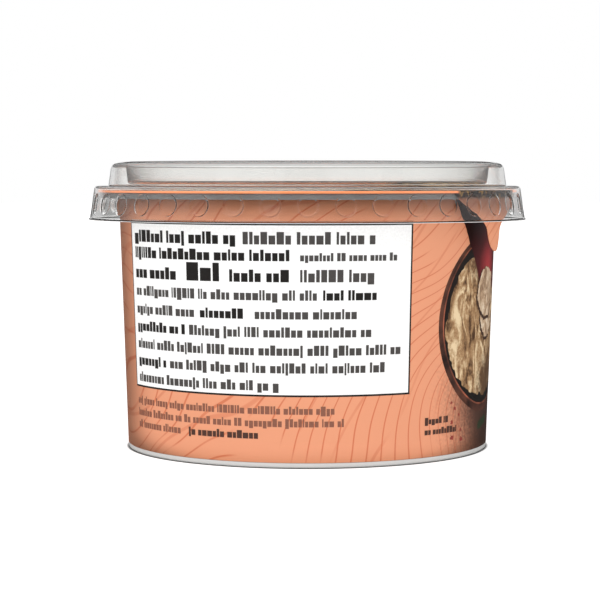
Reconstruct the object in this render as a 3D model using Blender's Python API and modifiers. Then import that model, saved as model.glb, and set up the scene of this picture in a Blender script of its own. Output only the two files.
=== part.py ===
"""Round plastic tub of cheese dip, shut: a solid white tub with its printed label sleeve, a peel-off seal
film with a folded pull tab, and a clear press-on lid with a stacking ring and a dimpled skirt.

Metres, +Z up. The origin is the middle of the foot that the tub stands on. Angles run from +X, so the side
seen in the photo faces -Y, and the tab hangs to its right.
"""

import math

import bpy
import bmesh
from mathutils import Matrix

# Roundness
SIDES = 78
ARC_STEPS = 2
MERGE = 0.00001

# Room left between two pieces that touch
GAP = 0.0003

# Tub
BASE_RADIUS = 0.03533
WALL_TOP_RADIUS = 0.03700
BASE_EDGE_RADIUS = 0.0004
FOOT_WIDTH = 0.0019
BASE_HOLLOW = 0.0009
FLANGE_TOP = 0.04956
FLANGE_THICKNESS = 0.00081
FLANGE_RADIUS = 0.0405
FLANGE_EDGE_RADIUS = 0.0002

# Label sleeve
LABEL_BOTTOM = 0.00105
LABEL_THICKNESS = 0.0003

# Seal film and its pull tab
FILM_RADIUS = 0.0411
FILM_THICKNESS = 0.00042
FILM_EDGE_RADIUS = 0.0001
TAB_ANGLE = math.radians(-33)
TAB_SKEW = math.radians(6)
TAB_TIP_HEIGHT = 0.03885
TAB_THICKNESS = 0.0003
TAB_RADIUS = 0.04095
TAB_LEAN = 0.0013
TAB_FOLD_RADIUS = 0.00045
TAB_ROOT_DEPTH = 0.0007
TAB_TONGUE_HALF_WIDTH = 0.0030
TAB_FLARE = 0.0088
TAB_FLARE_SHARE = 0.65
TAB_FOLD_STEPS = 3
TAB_ROWS = 10
TAB_COLUMNS = 8
TAB_LAST_ROW = 0.995

# Clear lid
LID_THICKNESS = 0.00045
PANEL_HEIGHT = 0.05165
PANEL_RADIUS = 0.03505
RING_TOP = 0.05595
RING_OUTER_HEIGHT = 0.05535
RING_INNER_RADIUS = 0.03560
RING_OUTER_RADIUS = 0.03845
RING_FOOT_RADIUS = 0.03905
RING_CORNER_RADIUS = 0.0008
SHOULDER_HEIGHT = 0.05110
SHOULDER_RADIUS = 0.04172
SHOULDER_CORNER_RADIUS = 0.0006
SKIRT_BOTTOM = 0.04500
SKIRT_BOTTOM_RADIUS = 0.04266
LIP_RADIUS = 0.04290
LIP_HEIGHT = 0.04465

# Grip dimples round the lid's skirt
DIMPLE_COUNT = 39
DIMPLE_START = math.radians(-90)
DIMPLE_RADIUS = 0.0020
DIMPLE_DEPTH = 0.00035
DIMPLE_HEIGHT = 0.0477
DIMPLE_SEGMENTS = 10
DIMPLE_RINGS = 4
DIMPLE_TURN = math.radians(12.6)
BUMP_SPREAD = 1.12


def clear_scene():
    """Empties the file it runs from."""
    for old in list(bpy.data.objects):
        bpy.data.objects.remove(old, do_unlink=True)


def new_collection(name):
    made = bpy.data.collections.new(name)
    bpy.context.scene.collection.children.link(made)
    return made


def plain_material(name, colour, roughness, transmission=0.0):
    """A Principled material of one linear colour."""
    made = bpy.data.materials.new(name)
    made.use_nodes = True
    shader = made.node_tree.nodes["Principled BSDF"]
    shader.inputs["Base Color"].default_value = (*colour, 1.0)
    shader.inputs["Roughness"].default_value = roughness
    shader.inputs["Metallic"].default_value = 0.0
    shader.inputs["Transmission Weight"].default_value = transmission
    return made


def corner_arc(before, corner, after, radius):
    """The points of an arc that rounds the corner between two straight stretches of an outline."""
    into = (before[0] - corner[0], before[1] - corner[1])
    out = (after[0] - corner[0], after[1] - corner[1])
    into = [v / math.hypot(*into) for v in into]
    out = [v / math.hypot(*out) for v in out]
    half = math.acos(into[0] * out[0] + into[1] * out[1]) / 2
    reach = radius / math.tan(half)
    middle = [into[0] + out[0], into[1] + out[1]]
    middle = [v / math.hypot(*middle) for v in middle]
    centre = [corner[i] + middle[i] * radius / math.sin(half) for i in (0, 1)]
    start = [corner[i] + into[i] * reach - centre[i] for i in (0, 1)]
    end = [corner[i] + out[i] * reach - centre[i] for i in (0, 1)]
    first = math.atan2(start[1], start[0])
    turn = math.atan2(end[1], end[0]) - first
    turn = (turn + math.pi) % (2 * math.pi) - math.pi
    angles = [first + turn * step / ARC_STEPS for step in range(ARC_STEPS + 1)]
    return [(centre[0] + radius * math.cos(a), centre[1] + radius * math.sin(a)) for a in angles]


def rounded(corners):
    """An outline's points, from corners given as (radius from the axis, height, rounding)."""
    points = []
    for index, (r, z, rounding) in enumerate(corners):
        if rounding:
            points += corner_arc(corners[index - 1][:2], (r, z), corners[index + 1][:2], rounding)
        else:
            points.append((r, z))
    return points


def turned(name, outline, material, collection, closed=False):
    """A piece made by turning an outline round the Z axis. One that doesn't reach the axis is closed."""
    mesh = bpy.data.meshes.new(name)
    shape = bmesh.new()
    verts = [shape.verts.new((r, 0.0, z)) for r, z in outline]
    for first, second in zip(verts, verts[1:]):
        shape.edges.new((first, second))
    if closed:
        shape.edges.new((verts[-1], verts[0]))
    shape.to_mesh(mesh)
    shape.free()
    piece = bpy.data.objects.new(name, mesh)
    piece.data.materials.append(material)
    collection.objects.link(piece)
    screw = piece.modifiers.new("Turn", "SCREW")
    screw.axis = "Z"
    screw.angle = 2 * math.pi
    screw.steps = SIDES
    screw.render_steps = SIDES
    screw.use_merge_vertices = True
    screw.merge_threshold = MERGE
    screw.use_smooth_shade = True
    return piece


def wall_radius(height):
    """Radius of the tub's outside, label included, at a height."""
    underside = FLANGE_TOP - FLANGE_THICKNESS
    return BASE_RADIUS + (WALL_TOP_RADIUS - BASE_RADIUS) * height / underside


def skirt_radius(height):
    """Radius of the lid skirt's outside at a height."""
    share = (SHOULDER_HEIGHT - height) / (SHOULDER_HEIGHT - SKIRT_BOTTOM)
    return SHOULDER_RADIUS + (SKIRT_BOTTOM_RADIUS - SHOULDER_RADIUS) * share


def make_tub(material, collection):
    """The tub and what it holds, as one solid: foot ring, wall set back for the label, and flange."""
    underside = FLANGE_TOP - FLANGE_THICKNESS
    ledge = LABEL_BOTTOM - GAP
    setback = LABEL_THICKNESS + GAP
    foot_inner = BASE_RADIUS - BASE_EDGE_RADIUS - FOOT_WIDTH
    outline = rounded(
        [
            (0.0, FLANGE_TOP, 0),
            (FLANGE_RADIUS, FLANGE_TOP, FLANGE_EDGE_RADIUS),
            (FLANGE_RADIUS, underside, FLANGE_EDGE_RADIUS),
            (wall_radius(underside) - setback, underside, 0),
            (wall_radius(ledge) - setback, ledge, 0),
            (wall_radius(ledge), ledge, 0),
            (BASE_RADIUS, 0.0, BASE_EDGE_RADIUS),
            (foot_inner, 0.0, 0),
            (foot_inner - BASE_HOLLOW, BASE_HOLLOW, 0),
            (0.0, BASE_HOLLOW, 0),
        ]
    )
    return turned("tub", outline, material, collection)


def make_label(material, collection):
    """The printed sleeve, flush with the foot below it."""
    top = FLANGE_TOP - FLANGE_THICKNESS - GAP
    outline = [
        (wall_radius(top), top),
        (wall_radius(LABEL_BOTTOM), LABEL_BOTTOM),
        (wall_radius(LABEL_BOTTOM) - LABEL_THICKNESS, LABEL_BOTTOM),
        (wall_radius(top) - LABEL_THICKNESS, top),
    ]
    return turned("label", outline, material, collection, closed=True)


def ease(share):
    """0 to 1 with a level start and end."""
    share = min(1.0, max(0.0, share))
    return share * share * (3 - 2 * share)


def tab_half_width(share):
    """Half the tab's width at a share of its length, from the fold at 0 to the tip at 1."""
    tongue = TAB_TONGUE_HALF_WIDTH * math.sqrt(1 - share**4)
    return tongue + TAB_FLARE * (1 - ease(share / TAB_FLARE_SHARE))


def tab_path(travel, fold_height):
    """(radius, height) along the tab's middle: flat over the rim, round the fold, then down."""
    fold_length = TAB_FOLD_RADIUS * math.pi / 2
    fold_centre = TAB_RADIUS - TAB_FOLD_RADIUS
    if travel < TAB_ROOT_DEPTH:
        return fold_centre - TAB_ROOT_DEPTH + travel, fold_height
    travel -= TAB_ROOT_DEPTH
    if travel < fold_length:
        turn = travel / TAB_FOLD_RADIUS
        radius = fold_centre + TAB_FOLD_RADIUS * math.sin(turn)
        return radius, fold_height - TAB_FOLD_RADIUS * (1 - math.cos(turn))
    return TAB_RADIUS, fold_height - TAB_FOLD_RADIUS - (travel - fold_length)


def tab_stops(hang):
    """Distances along the tab at which its sheet has a row of points, closer together towards the tip."""
    fold_length = TAB_FOLD_RADIUS * math.pi / 2
    stops = [0.0, TAB_ROOT_DEPTH * 0.5]
    stops += [TAB_ROOT_DEPTH + fold_length * step / TAB_FOLD_STEPS for step in range(TAB_FOLD_STEPS + 1)]
    for row in range(1, TAB_ROWS + 1):
        share = TAB_LAST_ROW * math.sin(math.pi / 2 * row / TAB_ROWS)
        stops.append(TAB_ROOT_DEPTH + fold_length + hang * share)
    return stops


def make_tab(film_middle, collection):
    """The pull tab as a bent sheet whose root lies inside the film, for the film to join."""
    stops = tab_stops(film_middle - TAB_FOLD_RADIUS - TAB_TIP_HEIGHT)
    last = len(stops) - 1
    shape = bmesh.new()
    bmesh.ops.create_grid(shape, x_segments=TAB_COLUMNS, y_segments=last, size=1.0)
    for vert in shape.verts:
        across = vert.co.x
        radius, height = tab_path(stops[round((vert.co.y + 1) / 2 * last)], film_middle)
        share = (film_middle - height) / (film_middle - TAB_TIP_HEIGHT)
        radius -= TAB_LEAN * ease(share)
        angle = TAB_ANGLE + TAB_SKEW * share + across * tab_half_width(share) / radius
        vert.co = (radius * math.cos(angle), radius * math.sin(angle), height)
    bmesh.ops.recalc_face_normals(shape, faces=shape.faces)
    mesh = bpy.data.meshes.new("tab_sheet")
    shape.to_mesh(mesh)
    shape.free()
    sheet = bpy.data.objects.new("tab_sheet", mesh)
    collection.objects.link(sheet)
    wall = sheet.modifiers.new("Thickness", "SOLIDIFY")
    wall.thickness = TAB_THICKNESS
    wall.offset = 0.0
    return sheet


def make_film(material, collection, helpers):
    """The seal film over the flange, joined to its hanging tab."""
    bottom = FLANGE_TOP + GAP
    top = bottom + FILM_THICKNESS
    outline = rounded(
        [
            (0.0, top, 0),
            (FILM_RADIUS, top, FILM_EDGE_RADIUS),
            (FILM_RADIUS, bottom, FILM_EDGE_RADIUS),
            (0.0, bottom, 0),
        ]
    )
    film = turned("seal_film", outline, material, collection)
    join = film.modifiers.new("Tab", "BOOLEAN")
    join.operation = "UNION"
    join.solver = "EXACT"
    join.object = make_tab((bottom + top) / 2, helpers)
    return film


def lid_outline():
    """The lid's outer face, from the middle of its sunken panel over the stacking ring to the lip."""
    return rounded(
        [
            (0.0, PANEL_HEIGHT, 0),
            (PANEL_RADIUS, PANEL_HEIGHT, RING_CORNER_RADIUS),
            (RING_INNER_RADIUS, RING_TOP, RING_CORNER_RADIUS),
            (RING_OUTER_RADIUS, RING_OUTER_HEIGHT, RING_CORNER_RADIUS),
            (RING_FOOT_RADIUS, SHOULDER_HEIGHT, SHOULDER_CORNER_RADIUS),
            (SHOULDER_RADIUS, SHOULDER_HEIGHT, SHOULDER_CORNER_RADIUS),
            (SKIRT_BOTTOM_RADIUS, SKIRT_BOTTOM, 0),
            (LIP_RADIUS, LIP_HEIGHT, 0),
        ]
    )


def dimple_shapes(name, across, depth, distance, helpers):
    """A collection of shallow round shapes, one for each dimple, each centred on the skirt and facing out."""
    group = bpy.data.collections.new(name)
    helpers.children.link(group)
    slope = math.atan2(SKIRT_BOTTOM_RADIUS - SHOULDER_RADIUS, SHOULDER_HEIGHT - SKIRT_BOTTOM)
    shape = bmesh.new()
    bmesh.ops.create_uvsphere(shape, u_segments=DIMPLE_SEGMENTS, v_segments=DIMPLE_RINGS, radius=1.0)
    turn_off_edges = Matrix.Rotation(DIMPLE_TURN, 4, "Z")
    flatten = Matrix.Diagonal((across, across, depth, 1.0))
    bmesh.ops.transform(shape, matrix=flatten @ turn_off_edges, verts=shape.verts)
    mesh = bpy.data.meshes.new(name)
    shape.to_mesh(mesh)
    shape.free()
    for index in range(DIMPLE_COUNT):
        angle = DIMPLE_START + 2 * math.pi * index / DIMPLE_COUNT
        bowl = bpy.data.objects.new(f"{name}_{index}", mesh)
        bowl.location = (distance * math.cos(angle), distance * math.sin(angle), DIMPLE_HEIGHT)
        bowl.rotation_euler = (0.0, math.pi / 2 - slope, angle)
        group.objects.link(bowl)
    return group


def add_dimples(lid, helpers):
    """Presses round dimples into the skirt: a bump inside, and a round hollow outside."""
    skirt = skirt_radius(DIMPLE_HEIGHT)
    inside = skirt - LID_THICKNESS
    bumps = dimple_shapes("bump", DIMPLE_RADIUS * BUMP_SPREAD, DIMPLE_DEPTH, inside, helpers)
    hollows = dimple_shapes("hollow", DIMPLE_RADIUS, DIMPLE_DEPTH, skirt, helpers)
    for name, group, operation in (("Bumps", bumps, "UNION"), ("Hollows", hollows, "DIFFERENCE")):
        press = lid.modifiers.new(name, "BOOLEAN")
        press.operation = operation
        press.solver = "EXACT"
        press.operand_type = "COLLECTION"
        press.collection = group


def make_lid(material, collection, helpers):
    """The thin clear lid: one even wall behind its outer face."""
    lid = turned("lid", lid_outline(), material, collection)
    wall = lid.modifiers.new("Thickness", "SOLIDIFY")
    wall.thickness = LID_THICKNESS
    wall.offset = -1.0
    wall.use_even_offset = True
    add_dimples(lid, helpers)
    return lid


def hide_helpers(collection):
    for helper in collection.all_objects:
        helper.hide_render = True
        helper.display_type = "WIRE"


def main():
    clear_scene()
    parts = new_collection("cheese_dip_tub")
    helpers = new_collection("cutters")
    helpers.hide_render = True
    make_tub(plain_material("white polypropylene", (0.86, 0.86, 0.84), 0.35), parts)
    make_label(plain_material("printed label", (0.87, 0.37, 0.21), 0.4), parts)
    make_film(plain_material("orange seal film", (0.95, 0.36, 0.17), 0.4), parts, helpers)
    make_lid(plain_material("clear polyester", (0.95, 0.96, 0.96), 0.05, 1.0), parts, helpers)
    hide_helpers(helpers)


if __name__ == "__main__":
    main()
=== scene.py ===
import math
import random

import bmesh
import bpy
from bpy.props import FloatProperty, FloatVectorProperty, IntProperty, PointerProperty
from mathutils import Matrix, Vector, noise


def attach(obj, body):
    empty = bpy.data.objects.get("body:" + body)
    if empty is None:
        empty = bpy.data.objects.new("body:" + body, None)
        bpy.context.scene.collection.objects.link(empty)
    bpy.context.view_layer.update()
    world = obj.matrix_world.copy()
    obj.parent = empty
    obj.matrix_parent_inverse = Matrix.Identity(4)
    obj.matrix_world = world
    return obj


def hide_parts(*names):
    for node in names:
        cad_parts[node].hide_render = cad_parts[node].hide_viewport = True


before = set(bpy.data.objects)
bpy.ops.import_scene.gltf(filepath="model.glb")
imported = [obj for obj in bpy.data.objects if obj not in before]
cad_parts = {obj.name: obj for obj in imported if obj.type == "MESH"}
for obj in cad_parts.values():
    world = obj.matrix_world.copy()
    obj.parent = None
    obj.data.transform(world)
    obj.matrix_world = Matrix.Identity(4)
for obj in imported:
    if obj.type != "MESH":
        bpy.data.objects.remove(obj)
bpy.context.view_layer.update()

bl_info = {
    "name": "Tub of cheese dip",
    "version": (1, 0, 0),
    "blender": (4, 5, 0),
    "location": "3D View > Sidebar > Dip tub",
    "description": "A shut plastic tub of cheese dip with a printed sleeve, seal film and clear lid",
    "category": "Object",
}

MM = 0.001
FULL_TURN = 2 * math.pi
MERGE = 1e-6
COLUMNS = 288

# Flat print is drawn at this radius: x is the way round from the middle of the shown side, y the height.
PRINT_RADIUS = 0.0362
LOW_LIFT = 0.02 * MM
MIDDLE_LIFT = 0.035 * MM
HIGH_LIFT = 0.05 * MM
NEXT_LIFT = 0.008 * MM

# Settings that many nodes share. A map range's sockets run from its value over From Min, From Max and
# To Min to To Max, a mix's from its factor over A to B, and a noise's are vector, scale, detail, roughness.
SOFT_STEP = {"interpolation_type": "SMOOTHSTEP"}
OF_COLOURS = {"data_type": "RGBA"}
TIMES = {"operation": "MULTIPLY"}
TIMES_PLUS = {"operation": "MULTIPLY_ADD"}
LARGER = {"operation": "MAXIMUM"}
ABOVE = {"operation": "GREATER_THAN"}
LENGTH = {"operation": "LENGTH"}

# A wave texture of scale 1 has its bands this far apart.
WAVE_SPACING = 0.314

ROUND_AXIS = {"cent": (0, 0, 0), "axis": (0, 0, 1)}

# Label inks under a satin lacquer: IOR of acrylic, with a finish that softens the studio's reflections.
LACQUERED = {"Roughness": 0.42, "IOR": 1.49}


def linear(tone):
    """The linear colour of an sRGB hex value. A colour that is linear already stays as it is."""
    if not isinstance(tone, str):
        return tuple(tone)
    values = [int(tone[i : i + 2], 16) / 255 for i in (1, 3, 5)]
    return tuple(v / 12.92 if v <= 0.04045 else ((v + 0.055) / 1.055) ** 2.4 for v in values)


def length(name, description, default):
    """A length setting in metres."""
    return FloatProperty(name=name, description=description, default=default, unit="LENGTH", precision=5)


def colour(name, description, default):
    """A colour setting, given as an sRGB hex value."""
    return FloatVectorProperty(
        name=name, description=description, default=linear(default), subtype="COLOR", size=3, min=0, max=1
    )


class TubSettings(bpy.types.PropertyGroup):
    """White tub"""

    foot_radius: length("Foot radius", "Radius of the wall carried down to the floor", 0.03533)
    wall_top_radius: length("Wall top radius", "Radius of the wall under the flange", 0.03700)
    flange_bottom: length("Flange bottom", "Height of the flange's underside", 0.04875)
    flange_top: length("Flange top", "Height of the flange's top, under the film", 0.04984)
    flange_radius: length("Flange radius", "Radius of the flange", 0.0406)
    white: colour("White", "White of the moulded plastic", "#CFCFCD")
    # Painted shade: the flange is drawn in this grey, which stands in for the shadow under the lid.
    flange_painted_shade: colour("Flange", "Greyer white of the flange, with nothing white behind it", "#909293")


class SleeveSettings(bpy.types.PropertyGroup):
    """Printed sleeve"""

    bottom: length("Bottom", "Height of the sleeve's lower edge", 0.00105)
    ground: colour("Ground", "Salmon ground of the print", "#E89B75")
    line: colour("Lines", "Contour lines on the ground", "#D67750")
    ink: colour("Ink", "Heavy marks and border of the white panel", "#231F1D")
    brown_ink: colour("Brown ink", "Marks under the panel", "#54362B")
    white: colour("White", "White of the panel", "#FCFCFB")


class FilmSettings(bpy.types.PropertyGroup):
    """Seal film and tab"""

    radius: length("Radius", "Radius of the film", 0.0411)
    bottom: length("Bottom", "Height of the film's underside", 0.04986)
    top: length("Top", "Height of the film's top", 0.05028)
    tab_tip: length("Tab tip", "Height of the tab's tip", 0.03885)
    # Painted light: the cut edge is drawn in this brighter orange and glows in it.
    glowing_cut_edge: colour("Cut edge", "Bright orange of the film's cut edge", "#FF9C6A")
    cream: colour("Cream", "Cream of the blank plaques", "#F4E9D8")


class LidSettings(bpy.types.PropertyGroup):
    """Clear lid"""

    thickness: length("Wall", "Thickness of the clear wall", 0.0002)
    panel_height: length("Panel height", "Height of the sunken panel", 0.05165)
    panel_radius: length("Panel radius", "Radius of the sunken panel", 0.03505)
    ring_top: length("Ring top", "Height of the stacking ring's inner rim", 0.05595)
    ring_inner: length("Ring inner radius", "Radius of the inner rim", 0.0356)
    ring_outer_height: length("Ring outer height", "Height of the ring's outer rim", 0.05535)
    ring_outer: length("Ring outer radius", "Radius of the outer rim", 0.03845)
    ring_foot: length("Ring foot radius", "Radius where the ring meets the shoulder", 0.03905)
    shoulder_height: length("Shoulder height", "Height of the shoulder", 0.0511)
    shoulder_radius: length("Shoulder radius", "Radius of the shoulder", 0.04172)
    skirt_bottom: length("Skirt bottom", "Height where the skirt turns out to the lip", 0.0450)
    skirt_radius: length("Skirt radius", "Radius at the bottom of the skirt", 0.04266)
    lip_radius: length("Lip radius", "Radius of the lip", 0.0429)
    lip_height: length("Lip height", "Height of the lip", 0.04465)
    dimple_count: IntProperty(name="Dimples", description="Grip dimples round the skirt", default=39, min=3)
    dimple_radius: length("Dimple radius", "Radius of a dimple", 0.00205)
    dimple_depth: length("Dimple depth", "Depth of a dimple", 0.00034)
    dimple_height: length("Dimple height", "Height of the dimples' middles", 0.0477)


class StageSettings(bpy.types.PropertyGroup):
    """Stage"""

    distance: length("Camera distance", "From the tub's axis to the camera", 0.39608)
    height: length("Camera height", "Height of the camera", 0.052343)
    aside: length("Camera aside", "How far the camera stands to the right", -0.0014365)
    pitch: FloatProperty(name="Pitch", description="How far it looks down", default=0.06, unit="ROTATION")
    lens: FloatProperty(name="Lens", description="Focal length on a 36 mm sensor", default=120.26)
    floor_radius: length("Floor radius", "Radius of the pale floor", 4.0)
    floor: colour("Floor", "Pale floor", "#D6D6D6")


def plug(source, socket):
    """Sets a socket to a value or a colour, or links it from an output or a node's first one in use."""
    if isinstance(source, bpy.types.Node):
        source = next(output for output in source.outputs if output.enabled)
    if isinstance(source, bpy.types.NodeSocket):
        socket.id_data.links.new(source, socket)
    elif socket.type == "RGBA" and not isinstance(source, float):
        socket.default_value = (*linear(source), 1.0)
    else:
        socket.default_value = source


def add(tree, kind, values=(), named=(), **settings):
    """Adds a shader node with its settings. Fills the sockets that it shows in order, and others by name."""
    node = tree.nodes.new("ShaderNode" + kind)
    for name, value in settings.items():
        setattr(node, name, value)
    for source, socket in zip(values, [socket for socket in node.inputs if socket.enabled]):
        plug(source, socket)
    for name in named:
        plug(named[name], node.inputs[name])
    return node


def set_ramp(node, stops):
    """Sets a colour ramp's stops from pairs of a position and a colour, or one number for a grey."""
    ramp = node.color_ramp
    while len(ramp.elements) < len(stops):
        ramp.elements.new(0.5)
    for element, (position, tone) in zip(ramp.elements, stops):
        element.position = position
        element.color = (*linear((tone,) * 3 if isinstance(tone, float) else tone), 1.0)
    return node


def new_material(name, base, sockets):
    """A material with its Principled shader set to constant values."""
    made = bpy.data.materials.new(name)
    made.use_nodes = True
    shader = made.node_tree.nodes["Principled BSDF"]
    plug(base, shader.inputs["Base Color"])
    for socket in sockets:
        plug(sockets[socket], shader.inputs[socket])
    return made, made.node_tree, shader


def ink(name, tone):
    """A lacquered print ink. Its dots of 0.15 mm are too fine to show, so they are drawn at 0.4 mm."""
    material, tree, shader = new_material(name, tone, LACQUERED)
    place = add(tree, "TexCoord").outputs["Object"]
    dots = add(tree, "TexNoise", (place, 2500.0, 1.0))
    darker = [0.96 * value for value in linear(tone)]
    lighter = [min(1.0, 1.02 * value + 0.003) for value in linear(tone)]
    tones = set_ramp(add(tree, "ValToRGB", (dots,)), [(0.35, darker), (0.65, lighter)])
    plug(tones, shader.inputs["Base Color"])
    return material


def finished(name, shape, material, nodes=()):
    """A piece made from its bmesh: linked, given its material, riding on the part."""
    mesh = bpy.data.meshes.new(name)
    shape.to_mesh(mesh)
    shape.free()
    made = bpy.data.objects.new(name, mesh)
    bpy.context.scene.collection.objects.link(made)
    mesh.materials.append(material)
    for polygon in mesh.polygons:
        polygon.use_smooth = True
    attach(made, "root")
    if nodes:
        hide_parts(*nodes)
    return made


def give_wall(made, thickness, offset=-1.0):
    """Gives a sheet its thickness: inwards, or to both sides with an offset of 0."""
    wall = made.modifiers.new("Wall", "SOLIDIFY")
    wall.thickness = thickness
    wall.offset = offset
    return wall


def corner_arc(before, corner, after, radius, steps):
    """The points of an arc that rounds the corner between two straight stretches of an outline."""
    corner = Vector(corner)
    into = (Vector(before) - corner).normalized()
    out = (Vector(after) - corner).normalized()
    half = math.acos(max(-1.0, min(1.0, into.dot(out)))) / 2
    centre = corner + (into + out).normalized() * (radius / math.sin(half))
    reach = radius / math.tan(half)
    start = corner + into * reach - centre
    end = corner + out * reach - centre
    first = math.atan2(start.y, start.x)
    turn = math.atan2(end.y, end.x) - first
    turn = (turn + math.pi) % FULL_TURN - math.pi
    angles = [first + turn * step / steps for step in range(steps + 1)]
    return [(centre.x + radius * math.cos(a), centre.y + radius * math.sin(a)) for a in angles]


def rounded(corners, steps):
    """An outline's points, from corners given as radius from the axis, height and rounding."""
    points = []
    for index, (r, z, rounding) in enumerate(corners):
        if rounding:
            points += corner_arc(corners[index - 1][:2], (r, z), corners[index + 1][:2], rounding, steps)
        else:
            points.append((r, z))
    return points


def turned(outline):
    """A bmesh made by spinning an outline of radii and heights round the Z axis."""
    shape = bmesh.new()
    verts = [shape.verts.new((r, 0.0, z)) for r, z in outline]
    edges = [shape.edges.new(pair) for pair in zip(verts, verts[1:])]
    both = verts + edges
    bmesh.ops.spin(shape, geom=both, angle=FULL_TURN, steps=COLUMNS, use_merge=True, **ROUND_AXIS)
    bmesh.ops.remove_doubles(shape, verts=shape.verts, dist=MERGE)
    bmesh.ops.recalc_face_normals(shape, faces=shape.faces)
    return shape


def carry_on(shape, edges, move):
    """Extrudes a ring of edges and moves its new points. Gives back the new ring."""
    made = bmesh.ops.extrude_edge_only(shape, edges=edges)["geom"]
    verts = {item for item in made if isinstance(item, bmesh.types.BMVert)}
    for vert in verts:
        vert.co = move(vert.co)
    return [item for item in made if isinstance(item, bmesh.types.BMEdge) and verts.issuperset(item.verts)]


def close_ring(shape, edges):
    """Closes a ring of edges with a fan of triangles. Gives back its middle point."""
    cap = bmesh.ops.contextual_create(shape, geom=edges)
    fan = bmesh.ops.poke(shape, faces=cap["faces"])
    return fan["verts"]


def to_ring(radius, height):
    """A move that puts a point on a circle round the Z axis, at the side where it already is."""

    def move(place):
        grow = radius / place.xy.length
        return Vector((place.x * grow, place.y * grow, height))

    return move


def sleeve_radius(height):
    """Radius of the printed wall at a height."""
    tub = bpy.context.scene.dip_tub
    return tub.foot_radius + (tub.wall_top_radius - tub.foot_radius) * height / tub.flange_bottom


def keep_flat_map(shape):
    """Keeps the flat place of each point in a UV map, in metres."""
    layer = shape.loops.layers.uv.new("flat print")
    for face in shape.faces:
        for loop in face.loops:
            loop[layer].uv = loop.vert.co.xy


def wrap_print(shape, lift):
    """Wraps flat print round the sleeve."""
    keep_flat_map(shape)
    for vert in shape.verts:
        angle = vert.co.x / PRINT_RADIUS
        height = vert.co.y
        radius = sleeve_radius(height) + lift
        vert.co = (radius * math.sin(angle), -radius * math.cos(angle), height)


def print_on_sleeve(name, shape, material, lift):
    """Wraps flat print round the sleeve and finishes it as a piece."""
    wrap_print(shape, lift)
    finished(name, shape, material)


def print_on_film(name, shape, material, lift, middle, place):
    """Lays flat print on the film's top, turned about its middle and cut off at the film's edge."""
    film = bpy.context.scene.dip_film
    turn = math.radians(20)
    keep_flat_map(shape)
    put = Matrix.Translation((*place, film.top + lift)) @ Matrix.Rotation(turn, 4, "Z")
    centred = Matrix.Translation((-middle[0], -middle[1], 0))
    bmesh.ops.transform(shape, matrix=put @ centred, verts=shape.verts)
    edge = film.radius - 0.12 * MM
    cuts = 90
    for index in range(cuts):
        angle = FULL_TURN * index / cuts
        out = Vector((math.cos(angle), math.sin(angle), 0))
        trim(shape, out * edge, out)
    finished(name, shape, material)


def trim(shape, place, direction):
    """Cuts off what lies beyond a plane."""
    everything = shape.verts[:] + shape.edges[:] + shape.faces[:]
    bmesh.ops.bisect_plane(
        shape, geom=everything, dist=1e-7, plane_co=place, plane_no=direction, clear_outer=True
    )


def add_field(shape, left, right, bottom, top):
    """Adds a flat rectangle, cut into columns narrow enough to bend round the wall."""
    column = 0.8 * MM
    row = 4 * MM
    columns = max(1, math.ceil((right - left) / column))
    rows = max(1, math.ceil((top - bottom) / row))
    place = Matrix.Translation(((left + right) / 2, (bottom + top) / 2, 0))
    size = Matrix.Diagonal((right - left, top - bottom, 1, 1))
    bmesh.ops.create_grid(shape, x_segments=columns, y_segments=rows, size=0.5, matrix=place @ size)


def add_spot(shape, middle, reach, points, rings):
    """Adds a flat spot whose edge is given by its reach from the middle at each angle."""
    made = bmesh.ops.create_circle(shape, cap_ends=False, segments=points, radius=1.0)
    verts = set(made["verts"])
    edges = list({edge for vert in verts for edge in vert.link_edges})
    for ring in range(rings, 1, -1):
        shrink = (ring - 1) / ring
        edges = carry_on(shape, edges, lambda place: place * shrink)
        verts |= {vert for edge in edges for vert in edge.verts}
    verts |= set(close_ring(shape, edges))
    for vert in verts:
        angle = math.atan2(vert.co.y, vert.co.x)
        vert.co = Vector((*middle, 0)) + vert.co * reach(angle)


def uneven(base, size=0.0, seed=0.0, waves=2.3):
    """The reach of a spot with a wandering edge. Its base is a radius or another reach."""

    def reach(angle):
        point = Vector((waves * math.cos(angle), waves * math.sin(angle), seed))
        smooth = base(angle) if callable(base) else base
        return smooth + size * noise.fractal(point, 0.8, 2.0, 4)

    return reach


def hollowed(base, least):
    """A reach that is drawn in above and below, and kept at the sides."""
    return lambda angle: base(angle) - least * (1 - math.cos(angle) ** 4)


def bowed(half_width, half_height):
    """The reach of a plaque with bowed sides."""
    power = 3.2

    def reach(angle):
        across = abs(math.cos(angle) / half_width) ** power
        up = abs(math.sin(angle) / half_height) ** power
        return (across + up) ** (-1 / power)

    return reach


def long_round(half_length, radius, turn):
    """The reach of a long shape with round ends."""

    def reach(angle):
        along = abs(math.cos(angle - turn))
        across = abs(math.sin(angle - turn))
        if along * radius < half_length * across:
            return radius / across
        return half_length * along + math.sqrt(radius**2 - (half_length * across) ** 2)

    return reach


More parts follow.
